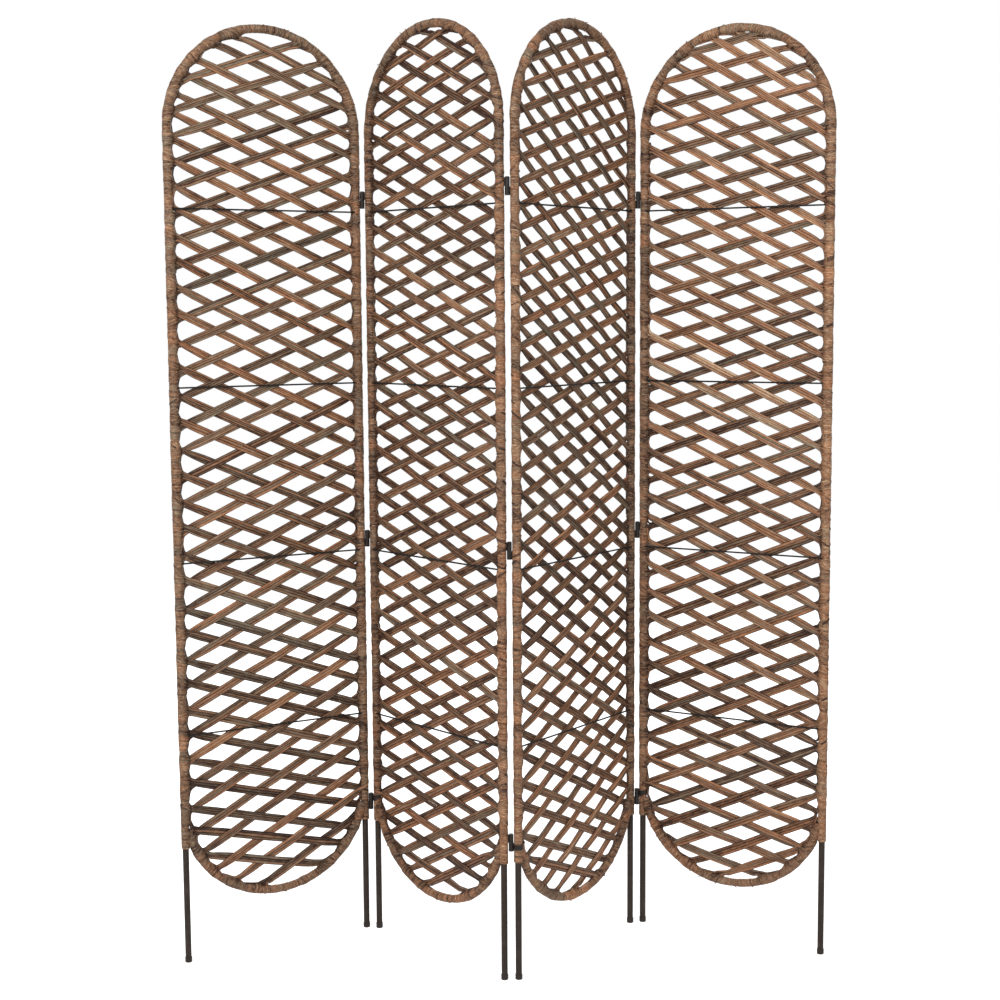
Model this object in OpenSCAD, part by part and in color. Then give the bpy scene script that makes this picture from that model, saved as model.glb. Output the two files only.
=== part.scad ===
// Four-panel folding screen: woven cane strips in wrapped metal hoops.
// Millimetres, +Z up. Panels 1 to 4 stand from left (-X) to right (+X), with their fronts
// towards -Y. The origin is the middle of the footprint, on the floor.

/* [Panels] */
// Height of a panel, from the floor to the top of its wrapping
panel_height = 1800; // [1400:10:2200]
// Width of a panel over its wrapping
panel_width = 400; // [320:5:600]
// Height of the lowest point of the hoop's wrapping above the floor
hoop_clearance = 106; // [60:1:200]

/* [Standing position] */
// Turn of panel 1 from the row, seen from above
turn_angle_1 = 29.5; // [0:0.5:60]
// Turn of panel 2 from the row
turn_angle_2 = -48; // [-60:0.5:0]
// Turn of panel 3 from the row
turn_angle_3 = 52.5; // [0:0.5:60]
// Turn of panel 4 from the row
turn_angle_4 = -29.5; // [-60:0.5:0]

/* [Frame] */
// Diameter of the steel bar that the legs, hoop and bottom arc are made of
bar_d = 12; // [8:0.5:16]
// How far the end of the bottom arc stands off the leg's axis where it is welded on
weld_inset = 5; // [4:0.5:6]
// Clearance at welds and inside the wrapping
seat_gap = 0.05; // [0.02:0.01:0.1]

/* [Wrapping] */
// Thickness of the cane wound round the bar
wrap_t = 2.5; // [2:0.1:5]
// Length of the wrapping on a leg below the weld of the bottom arc
wrap_tail = 34.5; // [10:0.5:60]

/* [Strips] */
// Width of a strip
strip_w = 14.5; // [8:0.5:18]
// Thickness of a strip
strip_t = 3; // [2:0.1:4]
// Gap between the falling and the rising strips
layer_gap = 0.3; // [0.2:0.05:0.5]
// Depth to which the ends of the strips are bound in the wrapping
strip_grip = 0.9; // [0.4:0.1:1]
// Shortest length of a strip's middle line, at the top and the bottom of a hoop
shortest_strip = 152; // [60:5:200]

/* [Falling strips of panels 1 to 4] */
// First strip below the top of the panel, on its middle line
falling_first = [44.5, 25.5, 16, 13]; // [0:0.5:100]
// How much lower every second strip lies than its even place, so that the strips go in pairs
falling_pairing = [-5, 5, 6, -4.5]; // [-8:0.5:8]
// Distance between the strips at the top, on the panel's middle line
falling_spacing_top = [40, 43.6, 48.5, 46.1]; // [30:0.1:80]
// Distance between the strips a third below the top, on the panel's middle line
falling_spacing_upper = [49.7, 42.1, 41.8, 42.9]; // [30:0.1:80]
// Distance between the strips a third above the bottom, on the panel's middle line
falling_spacing_lower = [48.5, 45.3, 46.8, 47.5]; // [30:0.1:80]
// Distance between the strips at the bottom, on the panel's middle line
falling_spacing_bottom = [42.1, 42.9, 45, 45.6]; // [30:0.1:80]
// Drop of a strip across the panel, at the top
falling_drop_top = [150, 190, 295, 250]; // [40:5:350]
// Drop of a strip across the panel, a third below the top
falling_drop_upper = [190, 165, 265, 180]; // [40:5:350]
// Drop of a strip across the panel, a third above the bottom
falling_drop_lower = [150, 140, 250, 165]; // [40:5:350]
// Drop of a strip across the panel, at the bottom
falling_drop_bottom = [80, 75, 145, 80]; // [40:5:350]

/* [Rising strips of panels 1 to 4] */
// First strip below the top of the panel, on its middle line
rising_first = [58, 37.5, 43.5, 30.5]; // [0:0.5:100]
// How much lower every second strip lies than its even place, so that the strips go in pairs
rising_pairing = [2, 2.5, -1.5, -2.5]; // [-8:0.5:8]
// Distance between the strips at the top, on the panel's middle line
rising_spacing_top = [46.1, 41.8, 42.6, 43.3]; // [30:0.1:80]
// Distance between the strips a third below the top, on the panel's middle line
rising_spacing_upper = [49.3, 42.8, 42.9, 43.6]; // [30:0.1:80]
// Distance between the strips a third above the bottom, on the panel's middle line
rising_spacing_lower = [48.1, 44.9, 47.4, 47.1]; // [30:0.1:80]
// Distance between the strips at the bottom, on the panel's middle line
rising_spacing_bottom = [49.1, 44.1, 49.3, 48.9]; // [30:0.1:80]
// Climb of a strip across the panel, at the top
rising_climb_top = [130, 120, 120, 65]; // [40:5:350]
// Climb of a strip across the panel, a third below the top
rising_climb_upper = [145, 115, 110, 115]; // [40:5:350]
// Climb of a strip across the panel, a third above the bottom
rising_climb_lower = [180, 175, 175, 165]; // [40:5:350]
// Climb of a strip across the panel, at the bottom
rising_climb_bottom = [205, 210, 235, 185]; // [40:5:350]

/* [Cross wires] */
// Diameter of a cross wire
wire_d = 3.2; // [1.6:0.1:4]
// Number of cross wires in a panel
wire_count = 4; // [2:1:8]
// Height of the lowest cross wire above the middle of the bottom arc
wire_low = 144; // [20:1:300]
// Distance of the highest cross wire below the middle of the top arc
wire_high = 148; // [20:1:300]

/* [Hinges] */
// Height of the lowest hinges of joints 12, 23 and 34 above the weld of the bottom arc
hinge_low = [3.5, 3.5, 3.5]; // [0:0.5:20]
// Height of the middle hinges of joints 12, 23 and 34 above the floor
hinge_middle = [806, 819, 817]; // [600:1:1000]
// Distance of the highest hinges of joints 12, 23 and 34 below the middle of the top arc
hinge_high = [125, 118, 127]; // [40:1:200]
// Height of a hinge over both knuckles
hinge_h = 32; // [24:1:36]
// Diameter of a knuckle
knuckle_d = 9; // [8:0.5:12]
// Gap between the two knuckles of a hinge
knuckle_gap = 0.4; // [0.2:0.1:0.8]
// Diameter of a hinge pin
pin_d = 5; // [3:0.1:5.4]
// Diameter of the head of a hinge pin
pin_head_d = 7.4; // [6:0.1:8]
// Thickness of the head of a hinge pin
pin_head_t = 1.2; // [0.8:0.1:2]
// Radial clearance of a pin where it turns
pin_running = 0.06; // [0.02:0.01:0.08]
// Radial clearance of a pin where it is held
pin_held = 0.02; // [0.01:0.01:0.03]
// Height of a hinge strap
strap_h = 10; // [6:0.5:11]
// Thickness of a hinge strap
strap_t = 1.2; // [0.8:0.1:1.4]
// Thickness of the arm between a strap and its knuckle
arm_t = 2.5; // [1.5:0.1:4]
// Clearance round a strap or arm
strap_gap = 0.1; // [0.05:0.01:0.2]
// Least gap between a knuckle and the other panel's wrapping
swing_gap = 0.5; // [0.4:0.1:1]
// Least gap between the wrappings of two panels, folded or opened flat
fold_gap = 2; // [1.9:0.1:6]

/* [Feet] */
// Height of a foot cap
cap_h = 10; // [6:1:20]
// Thickness of a foot cap under its leg
cap_floor = 2.5; // [1.5:0.1:4]
// Thickness of a foot cap's wall
cap_wall = 0.8; // [0.6:0.1:1.5]
// Chamfer round the bottom of a foot cap
cap_chamfer = 1; // [0.4:0.1:1.2]

/* [Hidden] */
$fn = 96;

PANELS = [1, 2, 3, 4];
// Each joint: its name, its left and right panel, whether its pins are at the back, and
// whether the right panel has the upper knuckles.
JOINTS = [
    ["12", 1, 2, false, true],
    ["23", 2, 3, true, false],
    ["34", 3, 4, false, true]
];
LEVELS = ["low", "middle", "high"];
PANEL_NODES = ["frame", "bottom_arc", "wrapping", "falling_strips", "rising_strips",
               "cross_wires", "foot_caps"];
HINGE_NODES = ["left", "right", "pin"];

bar_r = bar_d / 2;
bore_r = bar_r + seat_gap;
wrap_r = bar_r + wrap_t;
knuckle_r = knuckle_d / 2;
// Distance between the axes of a panel's two legs, and the radius of both arcs
leg_span = panel_width - 2 * wrap_r;
arc_r = leg_span / 2;
top_arc_z = panel_height - wrap_r - arc_r;
bottom_arc_z = hoop_clearance + wrap_r + arc_r;
// Angle below the horizontal where the bottom arc starts, and that place's height
weld_angle = acos(1 - weld_inset / arc_r);
weld_z = bottom_arc_z - arc_r * sin(weld_angle);
wrap_end = weld_z - wrap_tail;
// The bottom arc's wrapping and the cuts for it start this many degrees before its bar, inside
// the leg's wrapping, and the bore for the bar a little before the bar.
wrap_lead_angle = 3;
bore_lead_angle = 0.5;

// The pins stand off the corners of the legs at 45 degrees, so that a panel clears its
// neighbour by the same gap when it is folded onto it and when it is opened flat.
pin_reach = max(wrap_r + knuckle_r + swing_gap, (wrap_r + fold_gap / 2) * sqrt(2));
pin_side = pin_reach / sqrt(2);

knuckle_h = (hinge_h - knuckle_gap) / 2;
inner_strap_r = bore_r;
outer_strap_r = wrap_r + strap_gap;

weave_top = panel_height;
weave_bottom = hoop_clearance;
weave_r = arc_r - wrap_r + strip_grip;
falling_y = (layer_gap + strip_t) / 2;
wire_y = -(layer_gap / 2 + strip_t + layer_gap + wire_d / 2);

falling = panel_sets(falling_first, falling_pairing,
    [falling_spacing_top, falling_spacing_upper, falling_spacing_lower, falling_spacing_bottom],
    [falling_drop_top, falling_drop_upper, falling_drop_lower, falling_drop_bottom]);
rising = panel_sets(rising_first, rising_pairing,
    [rising_spacing_top, rising_spacing_upper, rising_spacing_lower, rising_spacing_bottom],
    [rising_climb_top, rising_climb_upper, rising_climb_lower, rising_climb_bottom]);

// Heights of the middles of the hinges: low, middle and high, for each joint
hinge_z = [
    for (j = [0:2]) [weld_z + hinge_low[j], hinge_middle[j], top_arc_z - hinge_high[j]]
];

function hinge_node(joint, level, part) = str("hinge_", joint[0], "_", level, "_", part);

// The strips that run one way, for each panel: the first one's distance below the top, how
// much lower every second one lies, and the spacings and drops or climbs at four heights.
function panel_sets(first, pairing, spacings, drops) = [
    for (n = [0:3])
        [first[n], pairing[n], [for (spacing = spacings) spacing[n]], [for (drop = drops) drop[n]]]
];

function turned(v, angle) = [
    v.x * cos(angle) - v.y * sin(angle),
    v.x * sin(angle) + v.y * cos(angle)
];

// Place of a joint's pins in the frame of a panel: side is -1 at its left and 1 at its right.
function pin_in_panel(side, at_back) = [side * (arc_r + pin_side), at_back ? pin_side : -pin_side];

// The panels are strung together from pin to pin, before the footprint is centred.
turns = [turn_angle_1, turn_angle_2, turn_angle_3, turn_angle_4];
start_2 = [0, 0];
pin_12 = start_2 + turned(pin_in_panel(-1, false), turn_angle_2);
start_1 = pin_12 - turned(pin_in_panel(1, false), turn_angle_1);
pin_23 = start_2 + turned(pin_in_panel(1, true), turn_angle_2);
start_3 = pin_23 - turned(pin_in_panel(-1, true), turn_angle_3);
pin_34 = start_3 + turned(pin_in_panel(1, false), turn_angle_3);
start_4 = pin_34 - turned(pin_in_panel(-1, false), turn_angle_4);
starts = [start_1, start_2, start_3, start_4];

// Everything that reaches furthest, seen from above, is a circle: the wrapped legs, and the
// straps that pass outside the wrapping of the left legs of panels 2, 3 and 4.
leg_circles = [
    for (i = [0:3], side = [-1, 1])
        [starts[i] + turned([side * arc_r, 0], turns[i]),
         side < 0 && i > 0 ? outer_strap_r + strap_t : wrap_r]
];
x_range = [min([for (c = leg_circles) c[0].x - c[1]]), max([for (c = leg_circles) c[0].x + c[1]])];
y_range = [min([for (c = leg_circles) c[0].y - c[1]]), max([for (c = leg_circles) c[0].y + c[1]])];
middle = [x_range[0] + x_range[1], y_range[0] + y_range[1]] / 2;

module in_panel(i) {
    translate(starts[i - 1] - middle) rotate([0, 0, turns[i - 1]]) children();
}

// ---- Frame ----

module both_legs() {
    for (side = [-1, 1]) translate([side * arc_r, 0, 0]) children();
}

// A round bar bent along an arc of the hoop, in the panel's plane
module arc_bar(r, z, from, sweep) {
    translate([0, 0, z]) rotate([90, 0, 0]) rotate([0, 0, from])
        rotate_extrude(angle = sweep) translate([arc_r, 0]) circle(r);
}

module top_arc(r) arc_bar(r, top_arc_z, 0, 180);

// The bottom arc of bars of radius r, started early by some degrees at both ends
module lower_arc(r, early = 0) {
    start = weld_angle - early;
    arc_bar(r, bottom_arc_z, 180 + start, 180 - 2 * start);
}

// Straight bars on both sides, from the top arc down to a height
module legs(r, to) {
    both_legs() translate([0, 0, top_arc_z]) mirror([0, 0, 1]) cylinder(r = r, h = top_arc_z - to);
}

module frame(i) {
    color("#3a312b") in_panel(i) {
        legs(bar_r, cap_floor);
        top_arc(bar_r);
    }
}

module bottom_arc(i) {
    color("#3a312b") in_panel(i) difference() {
        lower_arc(bar_r);
        legs(bore_r, cap_floor);
    }
}

module foot_caps(i) {
    r = bore_r + cap_wall;
    profile = [[0, 0], [r - cap_chamfer, 0], [r, cap_chamfer], [r, cap_h],
               [bore_r, cap_h], [bore_r, cap_floor], [0, cap_floor]];
    color("#2b2724") in_panel(i) both_legs() rotate_extrude() polygon(profile);
}

// ---- Wrapping ----

// The hinges of a panel: its side, whether at the back, height, and whether the strap
// passes outside the wrapping. Only the lowest strap of a panel's left leg does.
function panel_hinges(i) = [
    for (j = [0:2], level = [0:2])
        if (JOINTS[j][1] == i || JOINTS[j][2] == i)
            let (right = JOINTS[j][2] == i)
                [right ? -1 : 1, JOINTS[j][3], leaf_z(j, level, right), right && level == 0]
];

// Height of the middle of a leaf's knuckle
function leaf_z(j, level, right) =
    hinge_z[j][level] + (right == JOINTS[j][4] ? 1 : -1) * (knuckle_gap + knuckle_h) / 2;

// Direction from a leg to the pin beside it
function pin_angle(side, at_back) = atan2(at_back ? 1 : -1, side);

module wrapping(i) {
    color("#8a6a4e") in_panel(i) difference() {
        union() {
            legs(wrap_r, wrap_end);
            top_arc(wrap_r);
            lower_arc(wrap_r, wrap_lead_angle);
        }
        legs(bore_r, 0);
        top_arc(bore_r);
        lower_arc(bore_r, bore_lead_angle);
        strap_recesses(i);
    }
}

// Room for the straps that lie on the bars, under the wrapping
module strap_recesses(i) {
    for (h = panel_hinges(i))
        if (!h[3])
            translate([h[0] * arc_r, 0, h[2]]) strap_recess(pin_angle(h[0], h[1]));
}

// Room in the wrapping for a strap on the bar and its arm
module strap_recess(angle) {
    h = strap_h + 2 * strap_gap;
    arm_h = knuckle_h + 2 * strap_gap;
    arm_w = arm_t + 2 * strap_gap;
    translate([0, 0, -h / 2]) cylinder(r = inner_strap_r + strap_t + strap_gap, h = h);
    rotate([0, 0, angle]) translate([0, -arm_w / 2, -arm_h / 2]) cube([pin_reach, arm_w, arm_h]);
}

// ---- Strips ----

// What a spacing or drop is at height z, from its values at four heights
function at_height(values, z) = lookup(z, [
    for (n = [0:3]) [weave_top + (weave_bottom - weave_top) * n / 3, values[n]]
]);

// Heights on the panel's middle line where the strips would lie without pairs, from z down
function strip_heights(spacings, z) =
    z < weave_bottom ? [] : concat([z], strip_heights(spacings, z - at_height(spacings, z)));

// Half the length of a strip's middle line inside the arc round height z0, or 0
function half_chord(z, slope, z0) =
    let (distance = abs(z - z0) / sqrt(1 + slope * slope))
        distance < weave_r ? sqrt(weave_r * weave_r - distance * distance) : 0;

function long_enough(z, slope) =
    (z < top_arc_z || 2 * half_chord(z, slope, top_arc_z) >= shortest_strip) &&
    (z > bottom_arc_z || 2 * half_chord(z, slope, bottom_arc_z) >= shortest_strip);

// One straight strip through height z on the middle line; it stops short of the legs' bars
module strip(z, slope) {
    half_w = strip_w / 2 * sqrt(1 + slope * slope);
    x = weave_r;
    polygon([[-x, z - slope * x - half_w], [x, z + slope * x - half_w],
             [x, z + slope * x + half_w], [-x, z - slope * x + half_w]]);
}

// All the strips that run one way: sign is -1 for falling and 1 for rising to the right
module strips(set, sign, y) {
    heights = strip_heights(set[2], weave_top - set[0]);
    translate([0, y + strip_t / 2, 0]) rotate([90, 0, 0]) linear_extrude(strip_t)
        for (k = [0:len(heights) - 1]) {
            z = heights[k] - k % 2 * set[1];
            slope = sign * at_height(set[3], z) / leg_span;
            if (long_enough(z, slope)) strip(z, slope);
        }
}

// The space inside the hoop that the strips fill, without room for the straps outside the
// wrapping
module hoop_space(i) {
    difference() {
        union() {
            for (z = [top_arc_z, bottom_arc_z])
                translate([0, wrap_r, z]) rotate([90, 0, 0]) cylinder(r = weave_r, h = 2 * wrap_r);
            translate([-weave_r, -wrap_r, bottom_arc_z])
                cube([2 * weave_r, 2 * wrap_r, top_arc_z - bottom_arc_z]);
        }
        for (h = panel_hinges(i))
            if (h[3])
                translate([h[0] * arc_r, 0, h[2]])
                    cylinder(r = outer_strap_r + strap_t + strap_gap, h = strap_h + 2 * strap_gap,
                             center = true);
    }
}

module falling_strips(i) {
    color("#7a5a42") in_panel(i) intersection() {
        strips(falling[i - 1], -1, falling_y);
        hoop_space(i);
    }
}

module rising_strips(i) {
    color("#6e5a4a") in_panel(i) intersection() {
        strips(rising[i - 1], 1, -falling_y);
        hoop_space(i);
    }
}

// Straight wires in front of the strips, cut to fit against the legs' bars and straps
module cross_wires(i) {
    low = bottom_arc_z + wire_low;
    high = top_arc_z - wire_high;
    color("#26221f") in_panel(i) difference() {
        for (k = [0:wire_count - 1])
            translate([-arc_r, wire_y, low + (high - low) * k / (wire_count - 1)])
                rotate([0, 90, 0]) cylinder(d = wire_d, h = leg_span);
        legs(bore_r, bottom_arc_z);
        strap_recesses(i);
    }
}

// ---- Hinges ----

// A leaf: the strap round the leg, its arm and its knuckle. The leg's axis is the origin.
module leaf(angle, strap_r, hole_r) {
    difference() {
        union() {
            translate([0, 0, -strap_h / 2]) cylinder(r = strap_r + strap_t, h = strap_h);
            rotate([0, 0, angle]) {
                translate([0, -arm_t / 2, -knuckle_h / 2]) cube([pin_reach, arm_t, knuckle_h]);
                translate([pin_reach, 0, -knuckle_h / 2]) cylinder(r = knuckle_r, h = knuckle_h);
            }
        }
        translate([0, 0, -hinge_h]) cylinder(r = strap_r, h = 2 * hinge_h);
        rotate([0, 0, angle]) translate([pin_reach, 0, -hinge_h])
            cylinder(r = hole_r, h = 2 * hinge_h);
    }
}

// One leaf of joint j: the lowest ones are open where the bottom arc comes in
module hinge_leaf(j, level, right) {
    i = JOINTS[j][right ? 2 : 1];
    side = right ? -1 : 1;
    outside = right && level == 0;
    upper = right == JOINTS[j][4];
    strap_r = outside ? outer_strap_r : inner_strap_r;
    color("#1f1d1c") in_panel(i) difference() {
        translate([side * arc_r, 0, leaf_z(j, level, right)])
            leaf(pin_angle(side, JOINTS[j][3]), strap_r, pin_d / 2 + (upper ? pin_running : pin_held));
        if (level == 0) lower_arc((outside ? wrap_r : bar_r) + strap_gap, wrap_lead_angle);
    }
}

// The pin is held in the lower knuckle and its head lies over the upper one
module hinge_pin(j, level) {
    at = [pin_12, pin_23, pin_34][j] - middle;
    color("#1f1d1c") translate([at.x, at.y, hinge_z[j][level] - hinge_h / 2]) {
        cylinder(d = pin_d, h = hinge_h + knuckle_gap / 2);
        translate([0, 0, hinge_h + knuckle_gap / 2]) cylinder(d = pin_head_d, h = pin_head_t);
    }
}

for (i = PANELS) {
    frame(i);
    bottom_arc(i);
    wrapping(i);
    falling_strips(i);
    rising_strips(i);
    cross_wires(i);
    foot_caps(i);
}
for (j = [0:2], level = [0:2]) {
    name = LEVELS[level];
    hinge_leaf(j, level, false);
    hinge_leaf(j, level, true);
    hinge_pin(j, level);
}
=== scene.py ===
"""Looks of the folding screen: woven cane strands, cane winding, dark steel, floor and lights.

Lengths are in millimetres and in a panel's own frame (u to the right, y to the back, z up)
until a mesh is made. A hoop's middle line is two straight legs and two half circles.
"""

import math

import bpy
import numpy as np
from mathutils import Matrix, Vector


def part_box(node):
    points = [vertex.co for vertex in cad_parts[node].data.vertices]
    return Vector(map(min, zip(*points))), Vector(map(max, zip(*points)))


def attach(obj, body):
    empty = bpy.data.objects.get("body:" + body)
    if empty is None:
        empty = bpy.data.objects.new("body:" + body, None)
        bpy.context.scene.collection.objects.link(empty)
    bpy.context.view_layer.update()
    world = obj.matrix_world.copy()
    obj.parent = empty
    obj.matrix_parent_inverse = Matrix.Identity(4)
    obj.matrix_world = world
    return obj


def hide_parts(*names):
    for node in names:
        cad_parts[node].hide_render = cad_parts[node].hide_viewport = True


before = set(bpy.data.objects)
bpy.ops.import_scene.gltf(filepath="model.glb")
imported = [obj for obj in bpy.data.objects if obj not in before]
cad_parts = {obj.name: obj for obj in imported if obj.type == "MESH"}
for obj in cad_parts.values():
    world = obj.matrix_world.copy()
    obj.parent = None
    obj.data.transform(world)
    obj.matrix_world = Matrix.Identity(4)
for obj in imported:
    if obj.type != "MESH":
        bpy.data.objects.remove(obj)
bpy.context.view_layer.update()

MM = 0.001
PANELS = (1, 2, 3, 4)

# ---- Measures that repeat the part's ----

BAR_R = 6.0
WRAP_END = 228.0
WELD_ANGLE = math.radians(13.1)

# ---- Strips ----

# Width of a bundle in the lower and in the upper part of a panel, and these parts' heights
BUNDLE_W = (16.3, 14.8)
BUNDLE_HEIGHTS = (600.0, 1250.0)
# Share of the strips that are bundles of three strands; the rest have four
OF_THREE = 0.55
STRAND_T = 2.3
# How far a strip lies in front of or behind the middle of the weave where it crosses another
WAVE = 1.15
# A strand is a little wider than its share of the bundle, so that no light comes through
OVERLAP = 1.14
RING_STEP = 16.0
SPLINE_PARTS = 2
# How far hand work shifts and turns a strip, and how far its lightness and warmth vary
STRIP_SHIFT = 0.8
STRIP_TURN = 0.003
STRIP_TINT = (0.04, 0.10)
# How far from a strip's end its crossings count, how far it stays level there, and its depth
# there as a share of its first crossing's depth
CROSSINGS_FROM = 20
LEVEL_TO = 8
END_DEPTH = -0.4

# ---- Ends of the strips, as distances from a rod's middle line ----

MIDDLE_ENDS_AT = 27.0
TURN_OFF_AT = 20.0
PINCH_AT = 13.0
# Limits for how a strip's slant lengthens its end and leads it along the rod
LEAST_INTO = 0.45
MOST_REACH = 1.7
LEAST_INTO_FOR_SLOPE = 0.3
MOST_SLOPE = 0.9
# Share of its width that a bundle keeps at the rod, and where it starts to narrow
PINCH = (0.40, 0.90)
NARROW_FROM = (32.0, 56.0)
# Share of the outer strands that turn off along the rod, and their way: how far from the
# middle line, how far out of the bundle, and how much of the strip's slope is left
TURNING_OFF = 0.85
TURN_OFF_WAY = (
    (14.5, 1.0, 1.0),
    (11.6, 3.2, 1.0),
    (9.9, 7.5, 0.6),
    (8.7, 13.0, 0.2),
    (7.6, 19.0, 0.0),
    (6.4, 25.0, 0.0),
)
# How far that way is stretched, shares of the depth that it starts and goes on with, and how
# far its points wobble
TURN_OFF_SIZE = (0.8, 1.2)
TURN_OFF_DEPTH = (0.8, 0.4)
TURN_OFF_WOBBLE = 0.4
# A strand that goes round the rod: angles from the rod's inner side, and numbers of points,
# for one that goes over it and for one that stays behind it
ROUND_FROM = 58
OVER_TO = (200, 260)
OVER_POINTS = 7
BEHIND_TO = (100, 130)
BEHIND_POINTS = 3
# Radii of its middle line: on its way over the rod, tucked in at its end, and behind the rod
WRAP_CENTRE_R = 7.5
WRAP_CENTRE_SPREAD = (-0.1, 0.2)
TUCKED_R = 6.6
BEHIND_R = (WRAP_CENTRE_R - 0.3, TUCKED_R + 0.2, TUCKED_R - 0.2)
# Share of its depth that it keeps up to the rod, and of the strands that pass the rod's front
ROUND_DEPTH = 0.9
FRONT_SHARE = 0.55
# How the strands fan out there: to each side, at random, and along the rod with the slope
FAN_HALF = 6.0
FAN_WOBBLE = 0.6
FAN_START = 0.6
FAN_LEAN = (0.8, 1.5)
# The inside of an end: places along it, its share of the width and how far it spreads
NECK_AT = (26.0, 20.0, 15.0, 12.0, 9.5, 7.0)
NECK_SHARE = np.array([0.3, 0.5, 0.7, 0.9, 1.0, 1.0])
NECK_SPREAD = np.array([0.0, 0.0, 0.0, 0.8, 2.8, 5.0])
NECK_T = 2.0
NECK_BACK = 0.3
# How much darker the inside of an end is, as painted shade deep in the bundle
NECK_SHADE = 0.22

# ---- Strands ----

# Where a strand's ends start at most, as a share of the strip's length
MOST_INSET = 0.3
# How far a bundle sways as a whole, and how its strands wander sideways and in depth: the
# distance between random values and their size
SWAY = 0.5
SIDE_WANDER = (60, 0.18)
DEPTH_WANDER = (50, 0.15)
# Ranges of a strand's width and thickness, and what is left of them at distances from its end
WIDTH_RANGE = (0.94, 1.06)
WIDTH_AT_END = ((0, 10, 30), (0.6, 0.9, 1))
THICKNESS_RANGE = (0.9, 1.0)
THICKNESS_AT_END = ((0, 8), (0.6, 1))
# How lightness and warmth vary from strand to strand and along one, how much painted shade darkens
# a strand at distances from its end, and how much painted shade darkens it under another strip
STRAND_TINT = (0.08, 0.22)
LIGHT_WANDER = (45, 0.03)
WARM_WANDER = (60, 0.05)
SHADE_AT_END = ((22, 62), (0.16, 0))
UNDER_SHADE = 0.08

# ---- Winding ----

PITCH = 2.9
PITCH_RANGE = (0.86, 1.14)
TURN_PARTS = 12
WIND_R = 7.6
CROWN = 0.62
BAND_EDGE = -0.05
BAND_BACK = -0.9
# Half of a band's width, as a share of the distance between turns, and that distance's limits
BAND_HALF = 0.62
BAND_LIMITS = (0.5, 2)
# How a turn is lifted at random, and how lift and lean wander along the rod
LIFT_WOBBLE = 0.14
LIFT_WANDER = (10, 0.28)
LEAN_WANDER = (14, 0.5)
# How far a turn leans beside a strip's end, and the share of the ends where it does
LEAN = (7.0, 14.0)
LEANING = 0.55
LEAN_REACH = 11.0
# How far the winding bulges where a strip ends, on the legs and on the arcs
LEG_BULGE = (0.0, 0.8)
ARC_BULGE = (0.3, 1.5)
BULGE_REACH = 8.0
# The most that it bulges, so that two windings clear each other when the panels are folded
MOST_LIFT = 0.9
# The winding also reaches inwards there, to meet the bundle: how far, how far along the rod,
# how level it is there, how fast it falls off round the rod, and how much painted shade darkens it
# there
FILLET = 3.6
FILLET_REACH = 8.5
FILLET_LEVEL = 1.6
FILLET_POWER = 1.5
FILLET_SHADE = 0.2
# How far the borders between stretches are off the middle between two strips' ends, and how
# a stretch's lightness and warmth vary
EDGE_WOBBLE = 1.5
STRETCH_TINT = (0.07, 0.22)
# How lightness and warmth vary from turn to turn and along the rod
TURN_TINT = (0.05, 0.10)
TURN_LIGHT_WANDER = (25, 0.03)
# Share of the turns that get painted shade, as if they lay deeper in the winding, and how much
# darker they are than the rest
SHADED_TURNS = 0.22
TURN_SHADE = 0.13
# Cut ends of strands: points on one, its length, how far it sticks out, half of its width,
# its thickness as a share of that, and how its lightness varies
TIP_POINTS = 4
TIP_LENGTH = (3.0, 6.5)
TIP_OUT = (1.6, 3.2)
TIP_HALF_W = (0.7, 1.3)
TIP_THICKNESS = 0.6
TIP_LIGHT = 0.12


def corners(node):
    """The low and the high corner of a node's box"""
    low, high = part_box(node)
    return np.array(low) / MM, np.array(high) / MM


def mesh_points(node):
    """The points of a node's mesh in the row"""
    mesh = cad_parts[node].data
    co = np.zeros(len(mesh.vertices) * 3, np.float32)
    mesh.vertices.foreach_get("co", co)
    return co.reshape(-1, 3).astype(float) / MM


class Panel:
    """A panel's own frame in the row, and the measures of its hoop."""

    def __init__(self, i):
        self.i = i
        caps = mesh_points(f"foot_caps_{i}")
        middle_x = (caps[:, 0].min() + caps[:, 0].max()) / 2
        feet = []
        for side in (caps[:, 0] < middle_x, caps[:, 0] > middle_x):
            foot = caps[side][:, :2]
            feet.append((foot.min(0) + foot.max(0)) / 2)
        self.origin = (feet[0] + feet[1]) / 2
        across = feet[1] - feet[0]
        self.r = np.linalg.norm(across) / 2
        self.e = across / (2 * self.r)
        self.back = np.array([-self.e[1], self.e[0]])
        frame_top = corners(f"frame_{i}")[1][2]
        wrap_low, wrap_high = corners(f"wrapping_{i}")
        self.wrap_r = wrap_high[2] - frame_top + BAR_R
        self.top = frame_top - BAR_R - self.r
        self.bottom = wrap_low[2] + self.wrap_r + self.r
        self.height = self.top - self.bottom

    def to_local(self, points):
        flat = points[:, :2] - self.origin
        return np.stack([flat @ self.e, flat @ self.back, points[:, 2]], 1)

    def to_row(self, points):
        flat = self.origin + points[:, :1] * self.e + points[:, 1:2] * self.back
        return np.concatenate([flat, points[:, 2:]], 1)


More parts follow.
